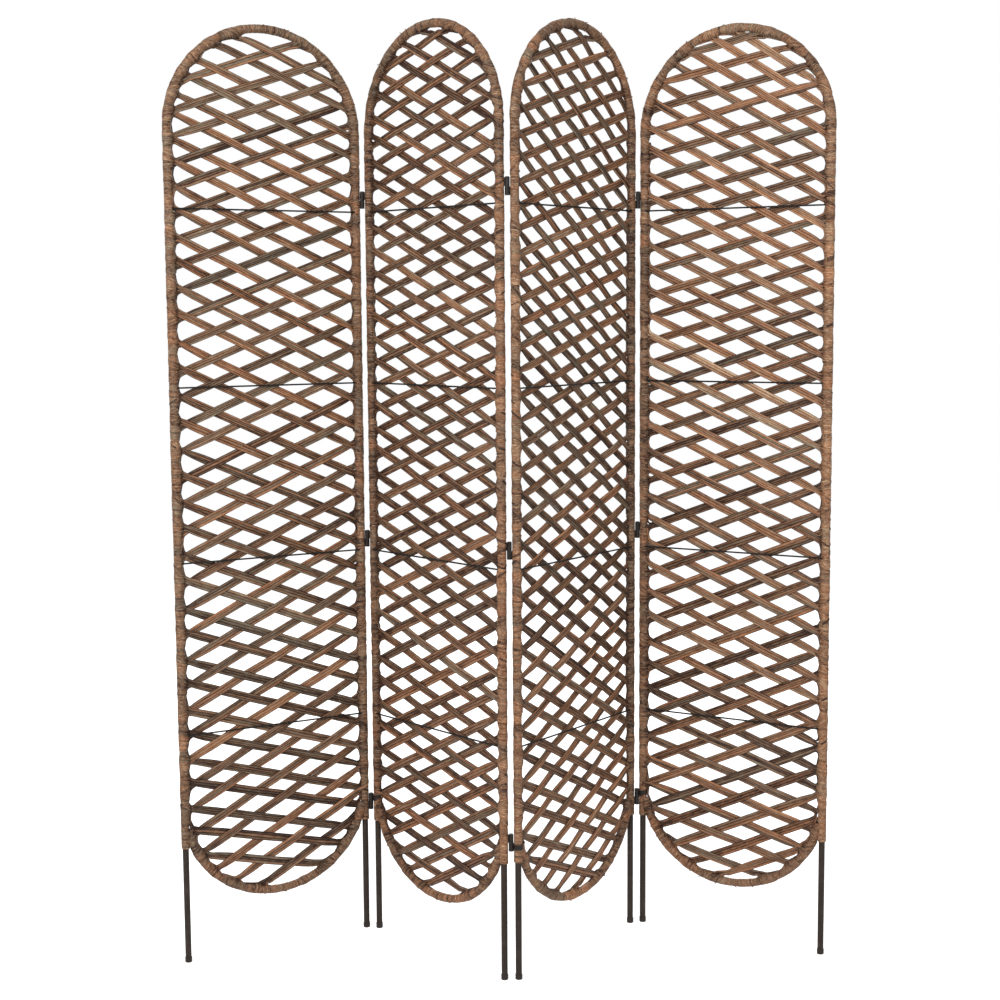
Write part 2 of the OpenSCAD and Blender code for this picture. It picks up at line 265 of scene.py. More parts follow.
class OverTop:
    """The legs and the top arc as one line: from the left leg up, over and down the right leg.
    It is measured from the height of the bottom arc's middle on the left leg."""

    # 1 where the inside of the hoop is to the right of the way along the line, seen from the front
    hand = 1

    def __init__(self, panel):
        self.p = panel
        self.arc_from = panel.height
        self.arc_to = panel.height + math.pi * panel.r

    def at(self, a):
        p = self.p
        a = np.asarray(a, float)
        angle = np.clip((a - self.arc_from) / p.r, 0, math.pi)
        left = np.minimum(a - self.arc_from, 0)
        right = np.maximum(a - self.arc_to, 0)
        point = np.stack([-p.r * np.cos(angle), p.top + p.r * np.sin(angle) + left - right], -1)
        tangent = np.stack([np.sin(angle), np.cos(angle)], -1)
        inward = np.stack([np.cos(angle), -np.sin(angle)], -1)
        return point, tangent, inward

    def where(self, point):
        u, z = point
        if z > self.p.top:
            return self.arc_from + self.p.r * math.atan2(z - self.p.top, -u)
        if u < 0:
            return z - self.p.bottom
        return self.arc_to + self.p.top - z


class Under:
    """The bottom arc's circle, measured from its left end downwards and to the right."""

    hand = -1

    def __init__(self, panel):
        self.p = panel

    def at(self, a):
        p = self.p
        angle = np.asarray(a, float) / p.r
        point = np.stack([-p.r * np.cos(angle), p.bottom - p.r * np.sin(angle)], -1)
        tangent = np.stack([np.sin(angle), -np.cos(angle)], -1)
        inward = np.stack([np.cos(angle), np.sin(angle)], -1)
        return point, tangent, inward

    def where(self, point):
        return self.p.r * math.atan2(self.p.bottom - point[1], -point[0])


def round_rod(rod, a, radius, angle, front):
    """Points at an angle round a rod, from its inner side over its front (1) or back (-1),
    and the directions away from its middle line."""
    point, _, inward = rod.at(a)
    cos, sin = np.cos(angle), np.sin(angle)
    radial = np.stack([cos * inward[..., 0], -front * sin, cos * inward[..., 1]], -1)
    middle = np.stack([point[..., 0], np.zeros_like(cos), point[..., 1]], -1)
    return middle + np.asarray(radius)[..., None] * radial, radial


# ---- Strips of the CAD model ----


def islands(node):
    """The separate solids of a node, as arrays of points and of their edges."""
    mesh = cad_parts[node].data
    co = mesh_points(node)
    _, first, same = np.unique(np.round(co, 2), axis=0, return_index=True, return_inverse=True)
    same = same.reshape(-1)
    edges = np.zeros(len(mesh.edges) * 2, np.int32)
    mesh.edges.foreach_get("vertices", edges)
    edges = same[edges.reshape(-1, 2)]
    label = np.arange(len(first))
    while True:
        low = np.minimum(label[edges[:, 0]], label[edges[:, 1]])
        new = label.copy()
        np.minimum.at(new, edges[:, 0], low)
        np.minimum.at(new, edges[:, 1], low)
        new = new[new]
        if (new == label).all():
            break
        label = new
    points = co[first]
    return [(points, edges[label[edges[:, 0]] == k]) for k in np.unique(label)]


def middle_line(points, edges):
    """A point on a straight strip's middle line and its direction, in its panel's plane."""
    flat = points[:, [0, 2]]
    ends = flat[edges]
    along = ends[:, 1] - ends[:, 0]
    used = flat[np.unique(edges)]
    for k in np.argsort(-np.linalg.norm(along, axis=1)):
        d = along[k] / np.linalg.norm(along[k])
        d = d if d[0] > 0 else -d
        normal = np.array([-d[1], d[0]])
        reach = used @ normal
        here = ends[k][0] @ normal
        if min(abs(here - reach.min()), abs(here - reach.max())) < 0.02:
            offset = (reach.min() + reach.max()) / 2
            return normal * offset, d
    return None


class End:
    """Where a strip's middle line meets the hoop, and how its bundle narrows there."""

    def __init__(self, panel, rods, strip, side, rng):
        over_top, under = rods
        point, d = strip.point, strip.d
        s = (side * panel.r - point[0]) / d[0]
        z = point[1] + s * d[1]
        if not panel.bottom <= z <= panel.top:
            gap = point - np.array([0, panel.top if z > panel.top else panel.bottom])
            b = gap @ d
            s = -b + side * math.sqrt(max(b * b - gap @ gap + panel.r**2, 0))
        meets = point + s * d
        self.s = s
        self.side = side
        self.rod = under if meets[1] < panel.bottom else over_top
        self.a = self.rod.where(meets)
        self.z = meets[1]
        _, tangent, inward = self.rod.at(self.a)
        into, beside = -side * d @ inward, -side * d @ tangent
        # Length along the strip, and along the rod, for each millimetre away from the rod
        self.reach = min(1 / max(into, LEAST_INTO), MOST_REACH)
        self.slope = np.clip(beside / max(into, LEAST_INTO_FOR_SLOPE), -MOST_SLOPE, MOST_SLOPE)
        # Whether the bundle's own side runs the same way as the rod
        self.turn = 1 if strip.normal @ tangent > 0 else -1
        self.pinch = rng.uniform(*PINCH)
        self.narrow_from = rng.uniform(*NARROW_FROM)

    def at(self, distance):
        """Place along the strip at a distance from the rod's middle line"""
        return self.s - self.side * distance * self.reach

    def width(self, s):
        """Share of the bundle's width that is left at places along the strip"""
        away = np.abs(s - self.s) / self.reach
        return np.interp(away, [PINCH_AT, self.narrow_from], [self.pinch, 1.0])


class Strip:
    """A strip of the weave: its middle line, its two ends and how its tint differs."""

    def __init__(self, panel, rods, point, d, rng):
        turn = rng.normal(0, STRIP_TURN)
        self.d = np.array([d[0] - turn * d[1], d[1] + turn * d[0]])
        self.d /= np.linalg.norm(self.d)
        self.normal = np.array([-self.d[1], self.d[0]])
        self.point = point - point[0] / d[0] * d + rng.normal(0, STRIP_SHIFT) * self.normal
        self.ends = [End(panel, rods, self, side, rng) for side in (-1, 1)]
        self.start, self.stop = self.ends[0].s, self.ends[1].s
        self.length = self.stop - self.start
        height = self.place((self.start + self.stop) / 2, 0)[1]
        self.bundle_w = np.interp(height, BUNDLE_HEIGHTS, BUNDLE_W)
        self.shift = tuple(rng.normal(0, size) for size in STRIP_TINT)

    def place(self, s, lateral):
        return self.point + s * self.d + lateral * self.normal

    def width(self, s):
        return np.minimum(self.ends[0].width(s), self.ends[1].width(s))


def strips_of(panel, rods, kind, rng):
    """The strips of one direction, from the highest down"""
    found = []
    for points, edges in islands(f"{kind}_strips_{panel.i}"):
        found.append(middle_line(panel.to_local(points), edges))
    found.sort(key=lambda line: line[0][0] / line[1][0] * line[1][1] - line[0][1])
    return [Strip(panel, rods, point, d, rng) for point, d in found]


def crossings(strips, others, falling_first, sign):
    """For each strip the places along it where it crosses the others, and its depth there."""
    tables = []
    for k, s in enumerate(strips):
        rows = []
        for m, o in enumerate(others):
            det = s.d[0] * -o.d[1] + s.d[1] * o.d[0]
            gap = o.point - s.point
            along = (gap[0] * -o.d[1] + gap[1] * o.d[0]) / det
            there = s.point + along * s.d
            other_along = (there - o.point) @ o.d
            if s.start < along < s.stop and o.start < other_along < o.stop:
                falling_in_front = ((k + m) % 2 == 0) == falling_first
                rows.append((along, -WAVE * sign if falling_in_front else WAVE * sign))
        rows.sort()
        tables.append(rows)
    return tables


def depth_at(rows, s, start, stop):
    """Depth of a strip along it: level over each crossing, and eased between them."""
    inner = [r for r in rows if start + CROSSINGS_FROM < r[0] < stop - CROSSINGS_FROM]
    if not inner:
        return np.zeros_like(s)
    places = np.array([start + LEVEL_TO] + [r[0] for r in inner] + [stop - LEVEL_TO])
    first, last = (inner[k][1] * END_DEPTH for k in (0, -1))
    depths = np.array([first] + [r[1] for r in inner] + [last])
    k = np.clip(np.searchsorted(places, s) - 1, 0, len(places) - 2)
    t = np.clip((s - places[k]) / (places[k + 1] - places[k]), 0, 1)
    t = (1 - np.cos(math.pi * t)) / 2
    return depths[k] * (1 - t) + depths[k + 1] * t


# ---- Mesh making ----


class Mass:
    """Collects tubes into one mesh, with where each point lies on its strand and its tint."""

    def __init__(self):
        self.points, self.quads, self.caps, self.lay, self.tint = [], [], [], [], []
        self.count = 0

    def tube(self, centres, up, section, walked, tint):
        """A tube along the centres, with its thickness in the direction up."""
        tangent = np.gradient(centres, axis=0)
        tangent /= np.linalg.norm(tangent, axis=1)[:, None]
        side = np.cross(tangent, up)
        side /= np.linalg.norm(side, axis=1)[:, None]
        self.sweep(centres, side, np.cross(side, tangent), section, walked, tint)

    def sweep(self, centres, side, up, section, walked, tint):
        """A closed tube with a section in the directions side and up round each centre.
        tint is (lightness, warmth, seed) at each centre."""
        n, m = section.shape[:2]
        points = (centres[:, None] + section[:, :, :1] * side[:, None]
                  + section[:, :, 1:] * up[:, None])
        widest = np.abs(section[:, :, 0]).max(1)
        lay = np.zeros((n, m, 3))
        lay[:, :, 0] = walked[:, None]
        lay[:, :, 1] = section[:, :, 0] / widest[:, None]
        lay[:, :, 2] = section[:, :, 1]
        base = self.count + np.arange(n - 1)[:, None] * m
        here, after = np.arange(m)[None], (np.arange(m)[None] + 1) % m
        quads = np.stack([base + here, base + after, base + m + after, base + m + here], -1)
        self.quads.append(quads.reshape(-1, 4))
        self.caps.append([self.count + k for k in reversed(range(m))])
        self.caps.append([self.count + (n - 1) * m + k for k in range(m)])
        self.points.append(points.reshape(-1, 3))
        self.lay.append(lay.reshape(-1, 3))
        self.tint.append(np.repeat(tint, m, axis=0))
        self.count += n * m

    def build(self, name, panel, material):
        points = panel.to_row(np.concatenate(self.points)) * MM
        faces = np.concatenate(self.quads).tolist() + self.caps
        mesh = bpy.data.meshes.new(name)
        mesh.from_pydata(points.tolist(), [], faces)
        mesh.update()
        mesh.polygons.foreach_set("use_smooth", np.ones(len(faces), bool))
        for key, rows in (("lay", self.lay), ("tint", self.tint)):
            attribute = mesh.attributes.new(key, "FLOAT_VECTOR", "POINT")
            attribute.data.foreach_set("vector", np.concatenate(rows).astype(np.float32).ravel())
        mesh.materials.append(material)
        piece = bpy.data.objects.new(name, mesh)
        bpy.context.scene.collection.objects.link(piece)
        return piece


def through(points, parts):
    """A smooth line through the points, each stretch cut into a number of parts."""
    p = np.concatenate([[2 * points[0] - points[1]], points, [2 * points[-1] - points[-2]]])
    t = (np.arange(parts) / parts)[None, :, None]
    a, b, c, d = (p[k:len(p) - 3 + k, None] for k in range(4))
    line = 0.5 * (2 * b + (c - a) * t + (2 * a - 5 * b + 4 * c - d) * t**2
                  + (3 * b - a - 3 * c + d) * t**3)
    return np.concatenate([line.reshape(-1, points.shape[1]), points[-1:]])


def walk(line):
    """How far each point of a line lies along it"""
    return np.concatenate([[0], np.cumsum(np.linalg.norm(np.diff(line, axis=0), axis=1))])


def wander(rng, places, step, size):
    """A smooth random value along a line, with a new random value at each step."""
    low, high = places.min() - step, places.max() + step
    knots = np.arange(low, high + step, step)
    return np.interp(places, knots, rng.normal(0, size, len(knots)))


# ---- Tints: lightness and warmth down each panel ----

# At the top, a third below it, a third above the bottom and at the bottom of the weave
TINT_HEIGHTS = (1800, 1250, 700, 100)
FALLING_LIGHT = {
    1: (.40, .41, .26, .24),
    2: (.26, .37, .29, .28),
    3: (.32, .31, .24, .38),
    4: (.50, .53, .43, .32),
}
FALLING_WARM = {
    1: (.45, .70, .35, .35),
    2: (.50, .60, .60, .80),
    3: (.45, .35, .40, .70),
    4: (.60, .68, .62, .60),
}
RISING_LIGHT = {
    1: (.38, .32, .41, .30),
    2: (.27, .32, .29, .29),
    3: (.38, .48, .32, .46),
    4: (.36, .29, .28, .30),
}
RISING_WARM = {
    1: (.40, .30, .55, .50),
    2: (.55, .50, .60, .85),
    3: (.60, .60, .60, .75),
    4: (.50, .50, .60, .75),
}
# Winding of the left leg, right leg, top arc and bottom arc of each panel
WINDING_TINTS = {
    1: ((.45, .50), (.43, .55), (.38, .40), (.36, .45)),
    2: ((.38, .50), (.48, .65), (.38, .50), (.36, .55)),
    3: ((.44, .60), (.29, .38), (.38, .55), (.36, .50)),
    4: ((.34, .50), (.59, .65), (.40, .50), (.38, .60)),
}


def down(values, z):
    """A tint at a height, from its values at four heights"""
    return np.interp(z, TINT_HEIGHTS[::-1], values[::-1])


# ---- Strands of the strips ----


def strand_section(half_w, half_t):
    """A rounded section, at each place along a strand."""
    x = np.array([-1, -.78, -.30, .30, .78, 1, .66, -.66])
    y = np.array([0, .62, 1, 1, .62, 0, -1, -1])
    return np.stack([half_w[:, None] * x, half_t[:, None] * y], -1)


def turned_off(strip, end, place, depth, rng):
    """Way of an outer strand that leaves the bundle and runs along the rod, into its winding."""
    s = end.at(TURN_OFF_AT)
    lateral = place * end.width(s) * strip.bundle_w / 2
    flat = strip.place(s, lateral)
    outward = math.copysign(1, place) * end.turn
    in_bundle = abs(lateral) * end.reach
    size = rng.uniform(*TURN_OFF_SIZE)
    start_depth, way_depth = TURN_OFF_DEPTH
    rows = [(flat[0], depth * start_depth, flat[1])]
    for away, aside, left in TURN_OFF_WAY:
        a = end.a + end.slope * away * left + outward * (in_bundle + aside * size)
        point, _, inward = end.rod.at(a)
        flat = point + away * inward
        rows.append((flat[0], depth * way_depth * left + rng.normal(0, TURN_OFF_WOBBLE), flat[1]))
    return np.array(rows), np.tile([0.0, -1.0, 0.0], (len(rows), 1))


def wrapped(strip, end, place, depth, front, over, rng):
    """Way of a strand that goes round the rod: past its front or back, or only behind it."""
    rows = []
    for distance in (TURN_OFF_AT, PINCH_AT):
        s = end.at(distance)
        flat = strip.place(s, place * end.width(s) * strip.bundle_w / 2)
        rows.append([flat[0], depth * ROUND_DEPTH, flat[1]])
    ups = [[0, -1, 0], [0, -1, 0]]
    first = math.radians(ROUND_FROM)
    last = math.radians(rng.uniform(*(OVER_TO if over else BEHIND_TO)))
    angles = np.linspace(first, last, OVER_POINTS if over else BEHIND_POINTS)
    radius = np.full(len(angles), WRAP_CENTRE_R + rng.uniform(*WRAP_CENTRE_SPREAD))
    radius[-1] = TUCKED_R
    if not over:
        radius[:] = BEHIND_R
    fan = place * end.turn * FAN_HALF + rng.normal(0, FAN_WOBBLE)
    lean = end.slope * rng.uniform(*FAN_LEAN)
    along = end.a + end.slope * WRAP_CENTRE_R * FAN_START + fan
    along = along - lean * WRAP_CENTRE_R * (angles - first)
    points, radial = round_rod(end.rod, along, radius, angles, front)
    return np.concatenate([rows, points]), np.concatenate([ups, radial * front])


def add_neck(mass, strip, end, light, warm, rng):
    """The inside of a strip's end, darkened with painted shade, which spreads where it meets the
    winding.
    """
    distance = np.array(NECK_AT)
    s = end.at(distance)
    flat = strip.point + s[:, None] * strip.d
    half_w = np.maximum(NECK_SHARE * end.width(s) * strip.bundle_w / 2, 1) + NECK_SPREAD
    centres = np.stack([flat[:, 0], np.full(len(s), NECK_BACK), flat[:, 1]], 1)
    up = np.tile([0.0, -1.0, 0.0], (len(s), 1))
    # Painted shade inside the end
    lightness = down(light, flat[:, 1]) + strip.shift[0] - NECK_SHADE
    warmth = down(warm, flat[:, 1]) + strip.shift[1]
    tint = np.stack([lightness, warmth, np.full(len(s), rng.uniform(0, 100))], 1)
    section = strand_section(half_w, np.full(len(s), NECK_T / 2))
    mass.tube(centres, up, section, walk(centres), tint)


def weave(strips, tables, light, warm, over_shares, rng):
    """All the strands of one set of strips."""
    mass = Mass()
    for strip, rows in zip(strips, tables):
        for end in strip.ends:
            add_neck(mass, strip, end, light, warm, rng)
        count = 3 if rng.random() < OF_THREE else 4
        sway = rng.normal(0, SWAY, 2)
        for j in range(count):
            place = (j - (count - 1) / 2) / (count / 2)
            outer = j in (0, count - 1)
            add_strand(mass, strip, rows, light, warm, over_shares, count, place, outer, sway, rng)
    return mass


def add_strand(mass, strip, rows, light, warm, over_shares, count, place, outer, sway, rng):
    """One strand from end to end: place is -1 to 1 across the bundle of count strands, and
    outer says whether it is at the bundle's side."""
    inset = [min(MIDDLE_ENDS_AT * end.reach, MOST_INSET * strip.length) for end in strip.ends]
    s0, s1 = strip.start + inset[0], strip.stop - inset[1]
    s = np.linspace(s0, s1, max(int(round((s1 - s0) / RING_STEP)), 2) + 1)
    share = (s - strip.start) / strip.length
    swing = sway[0] * np.sin(math.pi * share) + sway[1] * np.sin(2 * math.pi * share)
    lateral = place * strip.width(s) * strip.bundle_w / 2 + swing
    lateral = lateral + wander(rng, s, *SIDE_WANDER)
    depth = depth_at(rows, s, strip.start, strip.stop) + wander(rng, s, *DEPTH_WANDER)
    flat = strip.point + s[:, None] * strip.d + lateral[:, None] * strip.normal
    parts = [np.stack([flat[:, 0], depth, flat[:, 1]], 1)]
    up_parts = [np.tile([0.0, -1.0, 0.0], (len(s), 1))]
    for side, end in enumerate(strip.ends):
        if outer and rng.random() < TURNING_OFF:
            way, ups = turned_off(strip, end, place, depth[-side], rng)
        else:
            front = 1 if rng.random() < FRONT_SHARE else -1
            over = rng.random() < over_shares[side]
            way, ups = wrapped(strip, end, place, depth[-side], front, over, rng)
        if side:
            parts.append(way)
            up_parts.append(ups)
        else:
            parts.insert(0, way[::-1])
            up_parts.insert(0, ups[::-1])
    line = through(np.concatenate(parts), SPLINE_PARTS)
    up = through(np.concatenate(up_parts), SPLINE_PARTS)
    walked = walk(line)
    to_end = np.minimum(walked, walked[-1] - walked)
    half_w = strip.bundle_w / count / 2 * OVERLAP * rng.uniform(*WIDTH_RANGE)
    half_w = half_w * np.interp(to_end, *WIDTH_AT_END)
    half_t = STRAND_T / 2 * rng.uniform(*THICKNESS_RANGE) * np.interp(to_end, *THICKNESS_AT_END)
    lightness = down(light, line[:, 2]) + strip.shift[0] + rng.normal(0, STRAND_TINT[0])
    # Painted shade near the strand's ends, where it goes in among the winding
    lightness += wander(rng, walked, *LIGHT_WANDER) - np.interp(to_end, *SHADE_AT_END)
    # Painted shade where the strand lies behind, under another strip
    lightness -= UNDER_SHADE * np.clip(line[:, 1] / WAVE, 0, 1)
    warmth = down(warm, line[:, 2]) + strip.shift[1] + rng.normal(0, STRAND_TINT[1])
    warmth += wander(rng, walked, *WARM_WANDER)
    seed = np.full(len(line), rng.uniform(0, 100))
    tint = np.stack([lightness, warmth, seed], 1)
    mass.tube(line, up, strand_section(half_w, half_t), walked, tint)


# ---- Winding of a rod ----


class Stretches:
    """The stretches that a rod is wound in: each is wound with the strands of the strip that
    ends in it, and takes that strip's tint."""

    def __init__(self, ends, bulge, rng):
        ends.sort(key=lambda e: e[0])
        self.a, self.slope, self.light, self.warm = np.array(ends).T
        self.edges = (self.a[1:] + self.a[:-1]) / 2
        self.edges = self.edges + rng.normal(0, EDGE_WOBBLE, len(self.a) - 1)
        self.bulge = rng.uniform(*bulge(self.a))
        leans = rng.random(len(self.a)) < LEANING
        self.lean = self.slope * leans * rng.uniform(*LEAN, len(self.a))
        self.light = self.light + rng.normal(0, STRETCH_TINT[0], len(self.a))
        self.warm = self.warm + rng.normal(0, STRETCH_TINT[1], len(self.a))

    def near(self, a, values, reach):
        """Sum of what the strips' ends give at places along the rod"""
        gap = (a[:, None] - self.a[None]) / reach
        return (np.exp(-gap**2) * values[None]).sum(1)

    def at_end(self, a, reach):
        """1 where a strip ends, level for a short way, and 0 between the ends"""
        gap = np.abs(a[:, None] - self.a[None]).min(1) / reach
        return np.minimum(FILLET_LEVEL * np.exp(-gap**2), 1)

    def tint(self, a, light, warm):
        """The winding's own tint, half way to that of the strip that ends there"""
        k = np.searchsorted(self.edges, a)
        return (light + self.light[k]) / 2, (warm + self.warm[k]) / 2


def band_section(half_w, lift):
    """A flat band's section, at each place along it, lifted off the rod."""
    flat = np.zeros_like(half_w)
    x = np.stack([-half_w, -half_w * 0.5, half_w * 0.5, half_w, flat], -1)
    edge, crown = BAND_EDGE + lift, CROWN + lift
    y = np.stack([edge, crown, crown, edge, flat + BAND_BACK], -1)
    return np.stack([x, y], -1)


def wind(mass, rod, a_from, a_to, stretches, tint_at, rng, calm):
    """Winds a band of cane along a rod, leaning and bulging where strips end."""
    turns = [a_from]
    while turns[-1] < a_to:
        turns.append(turns[-1] + PITCH * rng.uniform(*PITCH_RANGE))
    turns = np.array(turns[:-1])
    n = len(turns)
    free = 1 - calm(turns)
    lift = free * stretches.near(turns, stretches.bulge, BULGE_REACH)
    lift += free * (rng.normal(0, LIFT_WOBBLE, n) + wander(rng, turns, *LIFT_WANDER))
    lift = np.minimum(lift, MOST_LIFT)
    lean = free * stretches.near(turns, stretches.lean, LEAN_REACH)
    lean = lean + wander(rng, turns, *LEAN_WANDER)
    fillet = free * stretches.at_end(turns, FILLET_REACH)
    phase = np.arange(n * TURN_PARTS) / TURN_PARTS
    spin = 2 * math.pi * phase
    along, lift, lean, fillet = (np.interp(phase, np.arange(n), v)
                                 for v in (turns, lift, lean, fillet))
    fillet *= np.clip(np.cos(spin), 0, 1) ** FILLET_POWER
    lift += FILLET * fillet
    place = along + lean * np.cos(spin)
    centres, radial = round_rod(rod, place, WIND_R, spin, 1)
    before = np.concatenate([place[:TURN_PARTS] - PITCH, place[:-TURN_PARTS]])
    after = np.concatenate([place[TURN_PARTS:], place[-TURN_PARTS:] + PITCH])
    narrowest, widest = BAND_LIMITS
    half_w = np.clip((after - before) / 2, narrowest * PITCH, widest * PITCH) * BAND_HALF
    _, tangent, _ = rod.at(along)
    axis = rod.hand * np.stack([tangent[:, 0], np.zeros(len(along)), tangent[:, 1]], 1)
    light, warm = stretches.tint(turns, *tint_at(turns))
    light = light + rng.normal(0, TURN_TINT[0], n) + wander(rng, turns, *TURN_LIGHT_WANDER)
    # Painted shade on a share of the turns, as if they lay deeper in the winding
    light += TURN_SHADE * (SHADED_TURNS - (rng.random(n) < SHADED_TURNS))
    warm = warm + rng.normal(0, TURN_TINT[1], n)
    tint = np.repeat(np.stack([light, warm, rng.uniform(0, 100, n)], 1), TURN_PARTS, axis=0)
    # Painted shade in the crease where the winding meets the bundle
    tint[:, 0] -= FILLET_SHADE * fillet
    mass.sweep(centres, axis, radial, band_section(half_w, lift), spin * WIND_R, tint)


def add_tips(mass, rod, a_from, a_to, spacing, angles, tint, rng):
    """Cut ends of strands that stick out of the winding here and there. The angles are the
    ranges round the rod where they may lie, clear of a panel that is folded onto this one."""
    n = TIP_POINTS
    steps = np.linspace(0, 1, n)
    for a in np.arange(a_from, a_to, spacing):
        start = a + spacing * rng.random()
        along = start + rng.choice((-1, 1)) * steps * rng.uniform(*TIP_LENGTH)
        radius = WIND_R + steps * rng.uniform(*TIP_OUT)
        angle = np.full(n, math.radians(rng.uniform(*rng.choice(angles))))
        points, radial = round_rod(rod, along, radius, angle, 1)
        half_w = np.full(n, rng.uniform(*TIP_HALF_W))
        lightness = tint[0] + rng.normal(0, TIP_LIGHT)
        tints = np.tile([lightness, tint[1], rng.uniform(0, 100)], (n, 1))
        section = strand_section(half_w, half_w * TIP_THICKNESS)
        mass.tube(points, radial, section, walk(points), tints)


# ---- Materials ----


def new_material(name):
    """A material with only an output and a shader, and that shader"""
    material = bpy.data.materials.new(name)
    material.use_nodes = True
    nodes = material.node_tree.nodes
    nodes.clear()
    output = nodes.new("ShaderNodeOutputMaterial")
    shader = nodes.new("ShaderNodeBsdfPrincipled")
    material.node_tree.links.new(shader.outputs["BSDF"], output.inputs["Surface"])
    return material, shader


class Net:
    """Short ways to add and join nodes of a material."""

    def __init__(self, material):
        self.tree = material.node_tree

    def node(self, kind, **settings):
        node = self.tree.nodes.new(kind)
        for key, value in settings.items():
            setattr(node, key, value)
        return node

    def join(self, source, into):
        self.tree.links.new(source, into)

    def math(self, operation, a, b=None, clamp=False):
        node = self.node("ShaderNodeMath", operation=operation, use_clamp=clamp)
        for k, value in enumerate((a, b)):
            if value is None:
                continue
            if isinstance(value, (int, float)):
                node.inputs[k].default_value = value
            else:
                self.join(value, node.inputs[k])
        return node.outputs[0]

    def mix(self, factor, a, b):
        node = self.node("ShaderNodeMix", data_type="RGBA")
        for socket, value in ((node.inputs[0], factor), (node.inputs[6], a), (node.inputs[7], b)):
            if isinstance(value, tuple):
                socket.default_value = value + (1,)
            else:
                self.join(value, socket)
        return node.outputs[2]

    def spread(self, value, low, high, to_low, to_high):
        """A value's range from low to high, spread over another range and clamped to it"""
        node = self.node("ShaderNodeMapRange")
        self.join(value, node.inputs["Value"])
        for key, number in (("From Min", low), ("From Max", high),
                            ("To Min", to_low), ("To Max", to_high)):
            node.inputs[key].default_value = number
        return node.outputs["Result"]

    def noise(self, vector, scale, detail=2.0, rough=0.5):
        node = self.node("ShaderNodeTexNoise")
        self.join(vector, node.inputs["Vector"])
        node.inputs["Scale"].default_value = scale
        node.inputs["Detail"].default_value = detail
        node.inputs["Roughness"].default_value = rough
        return node.outputs["Fac"]

    def attribute(self, name):
        """The three numbers of an attribute"""
        vector = self.node("ShaderNodeAttribute", attribute_name=name).outputs["Vector"]
        split = self.node("ShaderNodeSeparateXYZ")
        self.join(vector, split.inputs[0])
        return split.outputs

    def vector(self, *values):
        """A vector made of three values"""
        node = self.node("ShaderNodeCombineXYZ")
        for k, value in enumerate(values):
            self.join(value, node.inputs[k])
        return node.outputs[0]

    def bump(self, height, strength, distance, shader):
        node = self.node("ShaderNodeBump")
        node.inputs["Strength"].default_value = strength
        node.inputs["Distance"].default_value = distance
        self.join(height, node.inputs["Height"])
        self.join(node.outputs[0], shader.inputs["Normal"])

    def looking_rays(self):
        """1 for the rays that show a surface: camera, glossy and transmission rays"""
        path = self.node("ShaderNodeLightPath")
        seen = self.math("ADD", path.outputs["Is Camera Ray"], path.outputs["Is Glossy Ray"])
        return self.math("ADD", seen, path.outputs["Is Transmission Ray"], clamp=True)


def srgb(r, g, b):
    """A colour as it is seen, given as it is mixed"""
    return tuple(c / 12.92 if c < 0.04045 else ((c + 0.055) / 1.055) ** 2.4 for c in (r, g, b))


GREY_CANE = srgb(.46, .405, .335)
WARM_CANE = srgb(.605, .415, .29)
DARK_CANE = srgb(.16, .088, .048)
PALE_CANE = srgb(.80, .66, .52)
# The range that most values of a noise lie in
NOISE_RANGE = (0.3, 0.7)
# Scale of the fibres' noise along a strand and of the patches' noise across it, and how
# narrow the painted shade is in the creases at a strand's edges, where it meets the next one
FIBRE_STRETCH = 0.02
PATCH_WIDTH = 0.4
SEAM_SHADE_POWER = 2.5
# How much a patch's warmth differs, and the tone at which cane has its own colour, between
# the dark one at 0 and the pale one at 1
PATCH_WARMTH = 0.25
OWN_TONE = 0.5


def cane(name, seam_shade_depth, streaks, patch_step, patch_depth):
    """Split cane: fibres along the strand, painted shade in the creases at its edges and a dry
    sheen.
    """
    material, shader = new_material(name)
    net = Net(material)
    along, across, _ = net.attribute("lay")
    light, warmth, seed = net.attribute("tint")
    fibre_place = net.vector(net.math("MULTIPLY", along, FIBRE_STRETCH), across, seed)
    fibres = net.noise(fibre_place, scale=2.2, detail=3, rough=0.65)
    patch_place = net.vector(net.math("MULTIPLY", along, 1 / patch_step),
                             net.math("MULTIPLY", across, PATCH_WIDTH), seed)
    patches = net.noise(patch_place, scale=1.0, detail=2, rough=0.5)
    # Painted shade in the creases at a strand's or turn's edges, where it meets its neighbour
    seam_shade = net.math("POWER", net.math("ABSOLUTE", across), SEAM_SHADE_POWER)
    tone = net.math("ADD", light, net.spread(fibres, *NOISE_RANGE, -streaks, streaks))
    tone = net.math("ADD", tone, net.spread(patches, *NOISE_RANGE, -patch_depth, patch_depth))
    tone = net.math("SUBTRACT", tone, net.math("MULTIPLY", seam_shade, seam_shade_depth))
    warmer = net.spread(patches, *NOISE_RANGE, PATCH_WARMTH, -PATCH_WARMTH)
    hue = net.math("ADD", warmth, warmer, clamp=True)
    body = net.mix(hue, GREY_CANE, WARM_CANE)
    colour = net.mix(net.spread(tone, 0.0, OWN_TONE, 0.0, 1.0), DARK_CANE, body)
    colour = net.mix(net.spread(tone, OWN_TONE, 1.0, 0.0, 1.0), colour, PALE_CANE)
    net.join(colour, shader.inputs["Base Color"])
    net.join(net.spread(fibres, *NOISE_RANGE, 0.62, 0.46), shader.inputs["Roughness"])
    shader.inputs["Specular IOR Level"].default_value = 0.22
    net.bump(fibres, strength=0.5, distance=0.0004, shader=shader)
    return material


